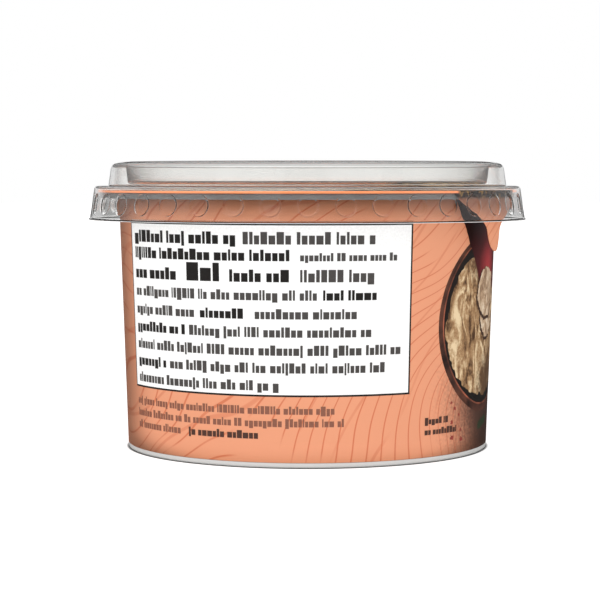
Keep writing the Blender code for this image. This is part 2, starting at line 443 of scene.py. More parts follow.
class DIP_OT_white_tub(bpy.types.Operator):
    """Makes the white tub, set back to let the sleeve in"""

    bl_idname = "dip_tub.white_tub"
    bl_label = "White tub"

    def execute(self, context):
        tub = context.scene.dip_tub
        ledge = context.scene.dip_sleeve.bottom - 0.05 * MM
        setback = 0.25 * MM
        foot_edge = 0.45 * MM
        foot_width = 1.9 * MM
        hollow = 0.9 * MM
        foot_inner = tub.foot_radius - foot_edge - foot_width
        outline = rounded(
            [
                (0.0, tub.flange_top, 0),
                (tub.flange_radius, tub.flange_top, 0.2 * MM),
                (tub.flange_radius, tub.flange_bottom, 0.2 * MM),
                (sleeve_radius(tub.flange_bottom) - setback, tub.flange_bottom, 0.3 * MM),
                (sleeve_radius(ledge) - setback, ledge, 0.03 * MM),
                (sleeve_radius(ledge), ledge, 0.03 * MM),
                (tub.foot_radius, 0.0, foot_edge),
                (foot_inner, 0.0, 0.2 * MM),
                (foot_inner - hollow, hollow, 0.3 * MM),
                (0.0, hollow, 0),
            ],
            5,
        )
        finished("white_tub", turned(outline), self.white_plastic(tub), ["tub"])
        return {"FINISHED"}

    @staticmethod
    def white_plastic(tub):
        """Injection moulded polypropylene: opaque white with a soft satin face, from a finely sparked mould.

        The real grain is about 0.1 mm and too fine to show, so it is drawn at 1 mm. The flange and the last
        millimetre under it are painted greyer: painted shade for the shadow under the lid.
        """
        satin = {"Roughness": 0.4, "IOR": 1.49}
        plastic, tree, shader = new_material("injection moulded white polypropylene", tub.white, satin)
        place = add(tree, "TexCoord").outputs["Object"]
        grain = add(tree, "TexNoise", (place, 1000.0, 2.0))
        bump = add(tree, "Bump", (0.2, 0.02 * MM), {"Height": grain})
        plug(bump, shader.inputs["Normal"])
        height = add(tree, "SeparateXYZ", (place,)).outputs["Z"]
        # Painted shade: from 1 mm under the flange upwards, the white turns to the flange's grey for the
        # shadow under the lid.
        under = tub.flange_bottom - 1.0 * MM
        painted_flange_shade = add(tree, "MapRange", (height, under, tub.flange_bottom))
        whites_and_painted_shade = add(tree, "Mix", (painted_flange_shade, tub.white, tub.flange_painted_shade), **OF_COLOURS)
        plug(whites_and_painted_shade, shader.inputs["Base Color"])
        return plastic


def add_line_set(tree, across, bend, spacing, width, seed):
    """Adds fine lines a spacing apart, in loose bundles that come and go. Gives back their amount."""
    place = add(tree, "TexCoord").outputs["Object"]
    moved = add(tree, "Mapping", (place, (seed, 0.0, 0.0)))
    drift = add(tree, "TexNoise", (moved, 38.0, 0.5))
    bent = add(tree, "Math", (drift, bend, across), **TIMES_PLUS)
    along = add(tree, "CombineXYZ", (bent,))
    bands = add(tree, "TexWave", (along, WAVE_SPACING / spacing)).outputs["Fac"]
    share = math.pi * width / spacing
    start, full = (0.5 + 0.5 * math.cos(reach * share) for reach in (1.3, 0.5))
    lines = add(tree, "MapRange", (bands, start, full), **SOFT_STEP)
    gaps = add(tree, "TexNoise", (moved, 70.0, 1.0))
    kept = add(tree, "MapRange", (gaps, 0.36, 0.50), **SOFT_STEP)
    return add(tree, "Math", (lines, kept), **TIMES)


def add_contours(tree, upward="Z"):
    """Adds the print's contour lines, upright at the lower right and leaning over elsewhere.

    Fine lines of 0.16 mm lie about 1.6 mm apart, with broad pale ones between. Gives back their colour.
    """
    sleeve = bpy.context.scene.dip_sleeve
    place = add(tree, "TexCoord").outputs["Object"]
    parts = add(tree, "SeparateXYZ", (place,)).outputs
    sideways, height = parts["X"], parts[upward]
    lean = add(tree, "Math", (sideways, 21.0, -0.48), **TIMES_PLUS)
    lean = add(tree, "Math", (height, -22.5, lean), **TIMES_PLUS)
    across = add(tree, "Math", (height, lean, sideways), **TIMES_PLUS)
    # Spread evenly: without the logarithm they would crowd where they lean.
    spread = 22 * MM
    crowding = add(tree, "Math", (across, -1 / spread, 1 + 30 * MM / spread), **TIMES_PLUS)
    crowding = add(tree, "Math", (crowding, 0.2), **LARGER)
    crowding = add(tree, "Math", (crowding, math.e), operation="LOGARITHM")
    across = add(tree, "Math", (crowding, -spread), **TIMES)
    fine = add_line_set(tree, across, bend=11 * MM, spacing=1.6 * MM, width=0.16 * MM, seed=0.0)
    broad = add_line_set(tree, across, bend=9 * MM, spacing=5.2 * MM, width=0.34 * MM, seed=0.3)
    amount = add(tree, "Math", (broad, 0.5, fine), **TIMES_PLUS)
    return add(tree, "Mix", (amount, sleeve.ground, sleeve.line), **OF_COLOURS)


def painted_rim_shade(tree, under):
    """Paints shade on a satin print where it turns away from the eye, for the light falling off at its
    edges. Gives back the colour.
    """
    facing = add(tree, "LayerWeight", (0.5,)).outputs["Facing"]
    shade = add(tree, "MapRange", (facing, 0.44, 0.86, 1.0, 0.5), **SOFT_STEP)
    return add(tree, "Mix", (1.0, under, shade), blend_type="MULTIPLY", **OF_COLOURS)


def glare(tree, under):
    """Paints the pale glare of a glossy film seen almost edge on into its colour, as a painted reflection.
    Gives back the colour.
    """
    facing = add(tree, "LayerWeight", (0.5,)).outputs["Facing"]
    amount = add(tree, "MapRange", (facing, 0.66, 0.9, 0.0, 0.85), **SOFT_STEP)
    return add(tree, "Mix", (amount, under, "#D4D6D4"), **OF_COLOURS)


def away_from(tree, middle):
    """How far each point of flat print is from a middle."""
    place = add(tree, "TexCoord").outputs["UV"]
    centred = add(tree, "Mapping", (place, (-middle[0], -middle[1], 0.0)))
    return add(tree, "VectorMath", (centred,), **LENGTH)


def add_shade(tree, under, middle, reach, strength, tone):
    """Adds a soft round shade to flat print, with a speckled edge. Gives back the colour."""
    place = add(tree, "TexCoord").outputs["UV"]
    specks = add(tree, "TexNoise", (place, 1700.0, 2.0))
    rough = add(tree, "Math", (specks, 9 * MM, -4.5 * MM), **TIMES_PLUS)
    edge = add(tree, "Math", (away_from(tree, middle), rough), operation="ADD")
    amount = add(tree, "MapRange", (edge, reach, reach * 0.35, 0.0, strength), **SOFT_STEP)
    return add(tree, "Mix", (amount, under, tone), **OF_COLOURS)


class DIP_OT_sleeve(bpy.types.Operator):
    """Makes the printed sleeve on the wall"""

    bl_idname = "dip_tub.sleeve"
    bl_label = "Printed sleeve"

    def execute(self, context):
        sleeve = context.scene.dip_sleeve
        top = context.scene.dip_tub.flange_bottom - 0.02 * MM
        half_round = math.pi * PRINT_RADIUS
        shape = bmesh.new()
        add_field(shape, -half_round, half_round, sleeve.bottom, top)
        wrap_print(shape, 0.0)
        bmesh.ops.remove_doubles(shape, verts=shape.verts, dist=MERGE)
        bmesh.ops.recalc_face_normals(shape, faces=shape.faces)
        # In-mould label: a printed film fused into the wall. Flat opaque inks under a satin lacquer.
        print_film, tree, shader = new_material("lacquered in-mould label film", sleeve.ground, LACQUERED)
        shaded = add_shade(tree, add_contours(tree), (0.0485, 0.0115), 24 * MM, 0.9, "#453029")
        # Painted shade where the sleeve turns away from the eye.
        plug(painted_rim_shade(tree, shaded), shader.inputs["Base Color"])
        made = finished("printed_sleeve", shape, print_film, ["label"])
        give_wall(made, 0.2 * MM)
        return {"FINISHED"}


# The white panel's lines of marks: height of the line's foot, height of a tall mark, and its stretches.
# A stretch is its start, end and weight, from the panel's left margin. Millimetres.
PANEL_LINES = (
    (27.6, 2.3, ((0.0, 26.5, "bold"), (27.7, 52.1, "plain"))),
    (24.6, 2.1, ((0.0, 37.0, "bold"), (38.1, 56.2, "small"))),
    (20.8, 2.3, ((0.0, 14.6, "bold"), (15.8, 23.3, "large"), (25.0, 37.4, "bold"), (38.1, 52.1, "plain"))),
    (17.5, 1.9, ((0.0, 41.3, "plain"), (42.2, 53.8, "bold"))),
    (14.1, 1.9, ((0.0, 17.9, "plain"), (18.7, 29.0, "bold"), (29.8, 48.9, "plain"))),
    (10.8, 1.9, ((0.0, 15.4, "bold"), (16.1, 51.8, "plain"))),
    (7.5, 1.9, ((0.0, 57.5, "plain"),)),
    (4.3, 1.9, ((0.0, 10.1, "bold"), (10.9, 54.4, "plain"))),
    (1.1, 1.9, ((0.0, 35.1, "plain"),)),
)
MARK_SIZE = {"bold": 1.0, "plain": 1.0, "small": 0.72, "large": 1.5}
MARK_WIDTHS = {"bold": (0.42, 0.72), "plain": (0.34, 0.6), "small": (0.34, 0.6), "large": (0.6, 0.8)}

# Shares of the marks, and their sizes as shares of a tall mark's height.
NARROW_SHARE = 0.2
TALL_SHARE = 0.38
DROPPED_SHARE = 0.06
TALL = 0.98
LOW = 0.7
DROP = 0.2
MARK_GAP = 0.11
WORD_GAP = 0.34
LEAST_STRETCH = 0.4


def add_marks(shape, draw, start, end, foot, height, weight="plain"):
    """Adds plain upright blocks in groups, wide low ones and a few narrow tall ones, for small print."""
    left = start
    while left < end - LEAST_STRETCH * height:
        for _ in range(draw.randint(2, 9)):
            width = height * draw.uniform(*MARK_WIDTHS[weight])
            kind = draw.random()
            right = left + (0.5 * width if kind < NARROW_SHARE else width)
            if right > end:
                break
            drop = DROP * height if draw.random() < DROPPED_SHARE else 0.0
            add_field(shape, left, right, foot - drop, foot + (TALL if kind < TALL_SHARE else LOW) * height)
            left = right + MARK_GAP * height
        left += WORD_GAP * height


class DIP_OT_panel(bpy.types.Operator):
    """Makes the white panel, its border and its lines of plain marks"""

    bl_idname = "dip_tub.panel"
    bl_label = "White panel"

    def execute(self, context):
        sleeve = context.scene.dip_sleeve
        draw = random.Random(7)
        left, right = -41.3 * MM, 19.8 * MM
        bottom, top = 13.1 * MM, 44.48 * MM
        border = 0.35 * MM
        # Thin strokes read lighter than solid ones, so their ink is thinned with the ground's colour.
        black = ink("black label ink", sleeve.ink)
        thin_black = ink("black label ink in thin strokes", "#4C4846")
        brown = ink("brown label ink", sleeve.brown_ink)
        thin_brown = ink("brown label ink in thin strokes", "#8F5A45")
        white = ink("white label ink", sleeve.white)
        edge, field, bold, plain, small, dark = (bmesh.new() for _ in range(6))
        add_field(edge, left, right, bottom, top)
        add_field(field, left + border, right - border, bottom + border, top - border)
        margin = left + 1.8 * MM
        for foot, height, stretches in PANEL_LINES:
            line = bottom + foot * MM
            for start, end, weight in stretches:
                size = MARK_SIZE[weight] * height * MM
                target = bold if weight in ("bold", "large") else plain
                add_marks(target, draw, margin + start * MM, margin + end * MM, line, size, weight)
        for foot, end in ((9.9, 46.3), (7.6, 48.4), (5.35, 16.0)):
            add_marks(small, draw, left + 0.7 * MM, left + end * MM, foot * MM, 1.5 * MM)
        add_marks(dark, draw, left + 17.2 * MM, left + 32.2 * MM, 5.35 * MM, 1.5 * MM, "bold")
        for foot, end in ((7.2, 30.2), (5.2, 33.6)):
            add_marks(dark, draw, 23.6 * MM, end * MM, foot * MM, 1.25 * MM, "bold")
        for name, shape, material, lift in (
            ("panel_border", edge, black, LOW_LIFT),
            ("panel_field", field, white, MIDDLE_LIFT),
            ("panel_bold_marks", bold, black, HIGH_LIFT),
            ("panel_plain_marks", plain, thin_black, HIGH_LIFT),
            ("small_print_marks", small, thin_brown, LOW_LIFT),
            ("small_dark_marks", dark, brown, MIDDLE_LIFT),
        ):
            print_on_sleeve(name, shape, material, lift)
        return {"FINISHED"}


def whipped_cheese(name, dark, middle, light, stroke, curd, shades=()):
    """Printed whipped cheese: long strokes on a slant, with fine curds. Sizes in metres."""
    material, tree, shader = new_material(name, middle, LACQUERED)
    place = add(tree, "TexCoord").outputs["UV"]
    slant = (0.0, 0.0, math.radians(28))
    slanted = add(tree, "Mapping", (place, (-0.0490, -0.0300, 0.0), slant, (1.0, 0.45, 1.0)))
    rings = (slanted, WAVE_SPACING / (3 * stroke), 6.0, 3.0, 1.4)
    swell = add(tree, "TexWave", rings, wave_type="RINGS", rings_direction="Z")
    strokes = add(tree, "TexNoise", (slanted, 1.0 / stroke, 5.0, 0.58), {"Distortion": 1.8})
    curds = add(tree, "TexNoise", (place, 1.0 / curd, 2.0, 0.6))
    tone = add(tree, "Math", (strokes, 2.2, -0.88), **TIMES_PLUS)
    tone = add(tree, "Math", (curds, 0.4, tone), **TIMES_PLUS)
    tone = add(tree, "Math", (swell.outputs["Fac"], 0.16, tone), **TIMES_PLUS)
    shown = set_ramp(add(tree, "ValToRGB", (tone,)), [(0.16, dark), (0.5, middle), (0.84, light)])
    for centre, reach, strength in shades:
        shown = add_shade(tree, shown, centre, reach, strength, dark)
    plug(shown, shader.inputs["Base Color"])
    return material


def printed_clay(name, dark, light):
    """Printed earthenware, mottled in spots of 5 mm."""
    clay, tree, shader = new_material(name, dark, LACQUERED)
    place = add(tree, "TexCoord").outputs["UV"]
    mottle = add(tree, "TexNoise", (place, 200.0, 5.0))
    tones = set_ramp(add(tree, "ValToRGB", (mottle,)), [(0.38, dark), (0.66, light)])
    plug(tones, shader.inputs["Base Color"])
    return clay


def printed_pepper():
    """Printed red pepper: dark where it comes from, with a soft shine near its end."""
    pepper, tree, shader = new_material("printed red pepper", "#8E1B1D", LACQUERED)
    away = away_from(tree, (0.0450, 0.0360))
    shine = add(tree, "MapRange", (away, 11 * MM, 0.0))
    stops = [(0.0, "#240506"), (0.5, "#5C0F12"), (0.9, "#AC2C31")]
    plug(set_ramp(add(tree, "ValToRGB", (shine,)), stops), shader.inputs["Base Color"])
    return pepper


# Places of the scattered red flecks under the bowl, in millimetres of flat print.
FLECKS = ((30.8, 10.7), (31.9, 9.5), (31.0, 7.0), (33.4, 8.3), (34.1, 5.4), (31.1, 4.1), (34.4, 3.6))


class DIP_OT_picture(bpy.types.Operator):
    """Makes the printed picture of a bowl of dip, on the sleeve and on the film"""

    bl_idname = "dip_tub.picture"
    bl_label = "Printed picture"

    def execute(self, context):
        self.add_bowl()
        self.add_toppings(context.scene.dip_tub.flange_bottom - 0.1 * MM)
        return {"FINISHED"}

    @staticmethod
    def spot(middle, reach):
        """A new shape with one large spot."""
        shape = bmesh.new()
        add_spot(shape, middle, reach, 144, 16)
        return shape

    def add_bowl(self):
        """The bowl, from the outside in: piece, material, its shift, its radius and its edge's wandering."""
        shades = (((0.0470, 0.0125), 9 * MM, 0.8), ((0.0405, 0.0385), 7.5 * MM, 0.7))
        cheese_tones = ("#553820", "#AB8358", "#E8CEA4")
        dip = whipped_cheese("printed whipped cheese", *cheese_tones, 3.4 * MM, 0.5 * MM, shades)
        middle = Vector((43.7, 25.3)) * MM
        on_film = (24.0 * MM, -15.6 * MM)
        clay = printed_clay("printed brown earthenware", "#2C1913", "#643A2A")
        glaze = printed_clay("printed reddish glaze", "#3F231A", "#B05F42")
        dark = ink("printed shade in the bowl", "#211915")
        layers = (
            ("bowl", clay, (0.0, 0.0), 17.2, 0.0),
            ("bowl_glaze", glaze, (0.05, 0.25), 16.15, 0.0),
            ("bowl_inside", dark, (0.1, 0.3), 15.9, 0.0),
            ("dip", dip, (0.0, 0.0), 15.5, 1.1),
        )
        for level, (name, material, shift, radius, wander) in enumerate(layers):
            lift = LOW_LIFT + level * NEXT_LIFT
            reach = uneven(radius * MM, wander * MM, 3.1)
            if wander:
                reach = uneven(hollowed(reach, 1.1 * MM), 0.4 * MM, 5.6, 14.0)
            at = middle + Vector(shift) * MM
            print_on_sleeve(f"sleeve_{name}", self.spot(at, reach), material, lift)
            print_on_film(f"film_{name}", self.spot(at, reach), material, lift, middle, on_film)

    def add_toppings(self, print_top):
        """The pepper, two spoonfuls with their shades, a herb leaf and flecks."""
        long_pepper = long_round(9.5 * MM, 7.3 * MM, math.radians(-58))
        pepper = self.spot(Vector((40.6, 45.9)) * MM, uneven(long_pepper, 0.4 * MM, 4.4))
        trim(pepper, (0, print_top, 0), (0, 1, 0))
        print_on_sleeve("sleeve_pepper", pepper, printed_pepper(), LOW_LIFT + 4 * NEXT_LIFT)
        spoonful_tones = ("#8A6A50", "#C4A381", "#EAD6BB")
        spoonful = whipped_cheese("printed spoonful of cheese", *spoonful_tones, 1.6 * MM, 0.45 * MM)
        under = ink("printed shade of the spoonful", "#4A3020")
        lumps = (("lump_below", (45.0, 26.0), 3.7, 5), ("lump", (44.2, 30.9), 4.7, 7))
        for name, at, radius, level in lumps:
            kinds = (("_shade", under, 0.35, level), ("", spoonful, 0.0, level + 1))
            for kind, material, grow, step in kinds:
                place = Vector((at[0] - 0.5 * grow, at[1] - 0.8 * grow)) * MM
                shape = self.spot(place, uneven((radius + grow) * MM, 0.6 * MM, 7.7 + level))
                print_on_sleeve(f"sleeve_{name}{kind}", shape, material, LOW_LIFT + step * NEXT_LIFT)
        herb = self.spot(Vector((44.7, 5.8)) * MM, long_round(2.1 * MM, 0.8 * MM, math.radians(12)))
        print_on_sleeve("sleeve_herb", herb, ink("printed green herb", "#2F4026"), LOW_LIFT)
        flecks = bmesh.new()
        draw = random.Random(3)
        for at in FLECKS:
            size = draw.uniform(0.25, 0.5) * MM
            add_spot(flecks, Vector(at) * MM, uneven(size, 0.8 * size, draw.uniform(0, 50)), 14, 2)
        print_on_sleeve("sleeve_flecks", flecks, ink("printed red flecks", "#963A30"), LOW_LIFT)


def ease(share):
    """0 to 1 with a level start and end."""
    share = min(1.0, max(0.0, share))
    return share * share * (3 - 2 * share)


TAB_ANGLE = math.radians(-33)
TAB_SKEW = math.radians(6)
TAB_RADIUS = 0.04095
TAB_LEAN = 0.0013
TAB_FOLD = 0.00045
TAB_ROOT = 0.0007
TAB_TONGUE = 3.0 * MM
TAB_FLARE = 8.8 * MM
TAB_FLARE_SHARE = 0.65
# The sheet stops just short of its tip, where it would have no width.
TAB_LENGTH_SHARE = 0.9995


def tab_sheet(film):
    """The tab as one bent sheet: flat over the rim, round the fold, then hanging inside the skirt."""
    middle = (film.top + film.bottom) / 2
    bend = TAB_FOLD * math.pi / 2
    hang = middle - TAB_FOLD - film.tab_tip
    total = TAB_ROOT + bend + hang
    shape = bmesh.new()
    bmesh.ops.create_grid(shape, x_segments=36, y_segments=90, size=1.0)
    for vert in shape.verts:
        travel = (vert.co.y + 1) / 2 * total * TAB_LENGTH_SHARE
        if travel < TAB_ROOT:
            radius, height = TAB_RADIUS - TAB_FOLD - TAB_ROOT + travel, middle
        elif travel < TAB_ROOT + bend:
            turn = (travel - TAB_ROOT) / TAB_FOLD
            radius = TAB_RADIUS - TAB_FOLD + TAB_FOLD * math.sin(turn)
            height = middle - TAB_FOLD * (1 - math.cos(turn))
        else:
            radius, height = TAB_RADIUS, middle - TAB_FOLD - (travel - TAB_ROOT - bend)
        share = (middle - height) / (middle - film.tab_tip)
        radius -= TAB_LEAN * ease(share)
        half = TAB_TONGUE * math.sqrt(max(0.0, 1 - share**4))
        half += TAB_FLARE * (1 - ease(share / TAB_FLARE_SHARE))
        angle = TAB_ANGLE + TAB_SKEW * share + vert.co.x * half / radius
        vert.co = (radius * math.cos(angle), radius * math.sin(angle), height)
    bmesh.ops.recalc_face_normals(shape, faces=shape.faces)
    return shape


def shade_and_dark_print_at_fold(tree, under):
    """Darkens the tab towards its fold with painted shade, for the shadow under the flange and lid, and adds
    the dark and golden crumbs of the printed picture that run over the fold. Gives back the colour.
    """
    place = add(tree, "TexCoord").outputs["Object"]
    level = add(tree, "SeparateXYZ", (place,)).outputs["Z"]
    scraps = add(tree, "TexNoise", (place, 700.0, 3.0), {"Distortion": 1.0})
    stops = [(0.47, "#2B1B14"), (0.60, "#5E3D22"), (0.72, "#C39A52")]
    crumbs = set_ramp(add(tree, "ValToRGB", (scraps,)), stops)
    shown = under
    # Painted shade: #6B4A3B darkens the colour from 44 mm up to the fold. The crumbs are print.
    for tone, low, high, strength in (("#6B4A3B", 44.0, 49.6, 0.6), (crumbs, 48.6, 49.3, 1.0)):
        amount = add(tree, "MapRange", (level, low * MM, high * MM, 0.0, strength), **SOFT_STEP)
        shown = add(tree, "Mix", (amount, shown, tone), **OF_COLOURS)
    return shown


def print_with_painted_edge_glow(tree, film):
    """Adds the contour lines, and round them the orange cut edge, painted brighter than the print and made
    to glow as painted light. Gives back the colour and the mask of the glowing edge.
    """
    place = add(tree, "TexCoord").outputs["Object"]
    parts = add(tree, "SeparateXYZ", (place,)).outputs
    flat = add(tree, "CombineXYZ", (parts["X"], parts["Y"]))
    away = add(tree, "VectorMath", (flat,), **LENGTH)
    glowing_edge_mask = add(tree, "MapRange", (away, film.radius - 0.3 * MM, film.radius - 0.1 * MM))
    # Painted reflection: the film's top print turns pale where it is seen almost edge on.
    top_print_with_painted_glare = glare(tree, add_contours(tree, "Y"))
    edged = add(tree, "Mix", (glowing_edge_mask, top_print_with_painted_glare, film.glowing_cut_edge), **OF_COLOURS)
    # Where the tab joins the film there is no cut edge, and the dark print runs over the rim.
    to_tab = (math.cos(TAB_ANGLE), math.sin(TAB_ANGLE), 0.0)
    ahead = add(tree, "VectorMath", (flat, to_tab), operation="DOT_PRODUCT")
    start, full = (film.radius * math.cos(half_angle) for half_angle in (0.275, 0.255))
    near_tab = add(tree, "MapRange", (ahead, start, full))
    joined = add(tree, "Math", (near_tab, glowing_edge_mask), **TIMES)
    cut = add(tree, "Math", (glowing_edge_mask, joined), operation="SUBTRACT")
    return add(tree, "Mix", (joined, edged, shade_and_dark_print_at_fold(tree, edged)), **OF_COLOURS), cut


class DIP_OT_film(bpy.types.Operator):
    """Makes the seal film, its folded tab and the blank plaques"""

    bl_idname = "dip_tub.film"
    bl_label = "Seal film and tab"

    def execute(self, context):
        film = context.scene.dip_film
        sleeve = context.scene.dip_sleeve
        outline = rounded(
            [
                (0.0, film.top, 0),
                (film.radius, film.top, 0.1 * MM),
                (film.radius, film.bottom, 0.1 * MM),
                (0.0, film.bottom, 0),
            ],
            4,
        )
        # Peelable lidding film, printed and lacquered. Its cut edge is orange, painted brighter than the
        # print and made to glow: painted light.
        glossy = {"Roughness": 0.08, "IOR": 1.5, "Emission Color": film.glowing_cut_edge}
        printed, tree, shader = new_material("glossy lidding film", sleeve.ground, glossy)
        coloured, glowing_edge_mask = print_with_painted_edge_glow(tree, film)
        plug(coloured, shader.inputs["Base Color"])
        # Painted light: the cut edge glows, though the film is no lamp.
        plug(add(tree, "Math", (glowing_edge_mask, 0.5), **TIMES), shader.inputs["Emission Strength"])
        finished("seal_film_disc", turned(outline), printed, ["seal_film"])
        tab_print, tree, shader = new_material("lacquered lidding film of the tab", sleeve.ground, LACQUERED)
        plug(shade_and_dark_print_at_fold(tree, add_contours(tree)), shader.inputs["Base Color"])
        tab = finished("seal_film_tab", tab_sheet(film), tab_print, ["seal_film"])
        give_wall(tab, 0.16 * MM, 0.0)
        self.add_plaques(film, sleeve)
        return {"FINISHED"}

    @staticmethod
    def add_plaques(film, sleeve):
        """Blank plaques in cream ink with a brown edge, where a pack of this kind has its name."""
        cream = ink("cream label ink", film.cream)
        brown = ink("brown ink of the plaques", sleeve.brown_ink)
        back = (-math.pi * PRINT_RADIUS + 2 * MM, 25 * MM)
        on_film = (-7 * MM, 9 * MM)
        points = 160
        for name, material, grow, lift in (
            ("plaque_edge", brown, 0.5 * MM, LOW_LIFT),
            ("plaque", cream, 0.0, MIDDLE_LIFT),
        ):
            shape = bmesh.new()
            add_spot(shape, (0, 0), bowed(25 * MM + grow, 15 * MM + grow), points, 20)
            print_on_film(f"film_{name}", shape, material, lift, (0, 0), on_film)
            shape = bmesh.new()
            add_spot(shape, back, bowed(27 * MM + grow, 15 * MM + grow), points, 36)
            print_on_sleeve(f"sleeve_{name}", shape, material, lift)


def lid_skirt_radius(lid, height):
    """Radius of the skirt's outside at a height."""
    share = (lid.shoulder_height - height) / (lid.shoulder_height - lid.skirt_bottom)
    return lid.shoulder_radius + (lid.skirt_radius - lid.shoulder_radius) * share


# A dimple's outer rings: millimetres in from its rim, and share of its depth.
DIMPLE_SIDE = ((0.07, 0.05), (0.17, 0.24), (0.28, 0.57), (0.39, 0.86), (0.52, 0.98))
# Its floor's rings: share of its radius, and share of its depth.
DIMPLE_FLOOR = ((0.58, 1.0), (0.3, 1.02))


def dimpled_band(lid):
    """The band of the skirt with the dimples: one flat field with a dimple, bent and spun round."""
    points = 32
    half_turn = math.pi / lid.dimple_count
    half_width = half_turn * lid_skirt_radius(lid, lid.dimple_height)
    corner = 3 * FULL_TURN / points
    half_height = half_width * math.tan(corner)
    r, deep = lid.dimple_radius, lid.dimple_depth
    rings = [(r - inset * MM, share * deep) for inset, share in DIMPLE_SIDE]
    rings += [(r * size, share * deep) for size, share in DIMPLE_FLOOR]
    shape = bmesh.new()
    made = bmesh.ops.create_circle(shape, cap_ends=False, segments=points, radius=r)
    rim = list({edge for vert in made["verts"] for edge in vert.link_edges})
    edges = rim
    for radius, depth in rings:
        edges = carry_on(shape, edges, to_ring(radius, depth))
    close_ring(shape, edges)
    edges = rim
    for share in (0.12, 0.5, 1.0):

        def outward(place):
            angle = math.atan2(place.y, place.x)
            side = half_width / max(1e-9, abs(math.cos(angle)))
            end = half_height / max(1e-9, abs(math.sin(angle)))
            out_to = r + (min(side, end) - r) * share
            return Vector((out_to * math.cos(angle), out_to * math.sin(angle), 0.0))

        edges = carry_on(shape, edges, outward)
    for vert in shape.verts:
        angle = vert.co.x / half_width * half_turn - math.pi / 2
        height = lid.dimple_height + vert.co.y
        radius = lid_skirt_radius(lid, height) - vert.co.z
        vert.co = (radius * math.cos(angle), radius * math.sin(angle), height)
    bmesh.ops.spin(
        shape,
        geom=shape.verts[:] + shape.edges[:] + shape.faces[:],
        angle=FULL_TURN * (lid.dimple_count - 1) / lid.dimple_count,
        steps=lid.dimple_count - 1,
        use_duplicate=True,
        **ROUND_AXIS,
    )
    bmesh.ops.remove_doubles(shape, verts=shape.verts, dist=2 * MERGE)
    return shape, lid.dimple_height + half_height, lid.dimple_height - half_height


def open_ring(shape, height):
    """The open edges of a shape at a height."""
    return [
        edge
        for edge in shape.edges
        if edge.is_boundary and all(abs(vert.co.z - height) < 10 * MERGE for vert in edge.verts)
    ]


class DIP_OT_lid(bpy.types.Operator):
    """Makes the clear lid"""

    bl_idname = "dip_tub.lid"
    bl_label = "Clear lid"

    def execute(self, context):
        lid = context.scene.dip_lid
        shape, band_top, band_bottom = dimpled_band(lid)
        upward = rounded(
            [
                (lid_skirt_radius(lid, band_top), band_top, 0),
                (lid.shoulder_radius, lid.shoulder_height, 0.6 * MM),
                (lid.ring_foot, lid.shoulder_height, 0.35 * MM),
                (lid.ring_outer, lid.ring_outer_height, 1.15 * MM),
                (lid.ring_inner, lid.ring_top, 0.8 * MM),
                (lid.panel_radius, lid.panel_height, 0.45 * MM),
                (30 * MM, lid.panel_height, 0),
            ],
            8,
        )
        inward = [(r * MM, lid.panel_height) for r in (24, 16, 8)]
        lip = rounded(
            [
                (lid_skirt_radius(lid, band_bottom), band_bottom, 0),
                (lid.skirt_radius, lid.skirt_bottom, 0.3 * MM),
                (lid.lip_radius, lid.lip_height, 0),
            ],
            4,
        )
        edges = open_ring(shape, band_top)
        for radius, height in upward[1:] + inward:
            edges = carry_on(shape, edges, to_ring(radius, height))
        close_ring(shape, edges)
        edges = open_ring(shape, band_bottom)
        for radius, height in lip[1:]:
            edges = carry_on(shape, edges, to_ring(radius, height))
        bmesh.ops.recalc_face_normals(shape, faces=shape.faces)
        made = finished("clear_lid", shape, self.clear_polyester(), ["lid"])
        made.data.materials.append(self.cut_polyester())
        wall = give_wall(made, lid.thickness)
        wall.use_even_offset = True
        wall.material_offset_rim = 1
        return {"FINISHED"}

    @staticmethod
    def clear_polyester():
        """Thermoformed clear polyester sheet: glass clear and glossy, with faint ripples from forming."""
        glassy = {"Roughness": 0.02, "IOR": 1.57, "Transmission Weight": 1.0}
        clear, tree, shader = new_material("thermoformed clear polyester", "#FCFCFB", glassy)
        place = add(tree, "TexCoord").outputs["Object"]
        ripple = add(tree, "TexNoise", (place, 160.0, 1.0))
        bump = add(tree, "Bump", (0.12, 0.05 * MM), {"Height": ripple})
        plug(bump, shader.inputs["Normal"])
        return clear

    @staticmethod
    def cut_polyester():
        """The lip's cut edge: clear polyester that the die leaves finely ground, so it catches light."""
        ground_clear = {"Roughness": 0.45, "Transmission Weight": 0.2}
        cut, tree, shader = new_material("die cut polyester edge", "#FCFCFB", ground_clear)
        place = add(tree, "TexCoord").outputs["Object"]
        ground = add(tree, "TexNoise", (place, 900.0, 2.0))
        frost = add(tree, "MapRange", (ground, 0.0, 1.0, 0.3, 0.6))
        plug(frost, shader.inputs["Roughness"])
        return cut


def ray_history(tree):
    """A ray's light path, and whether it bounced, came off a matt face, or went deep in the clear wall."""
    ray = add(tree, "LightPath").outputs
    bounces = add(tree, "Math", (ray["Diffuse Depth"], ray["Glossy Depth"]), operation="ADD")
    bounced = add(tree, "Math", (bounces, 0.5), **ABOVE)
    diffused = add(tree, "Math", (ray["Diffuse Depth"], 0.5), **ABOVE)
    deep = add(tree, "Math", (ray["Transmission Depth"], 3.5), **ABOVE)
    return ray, bounced, diffused, deep


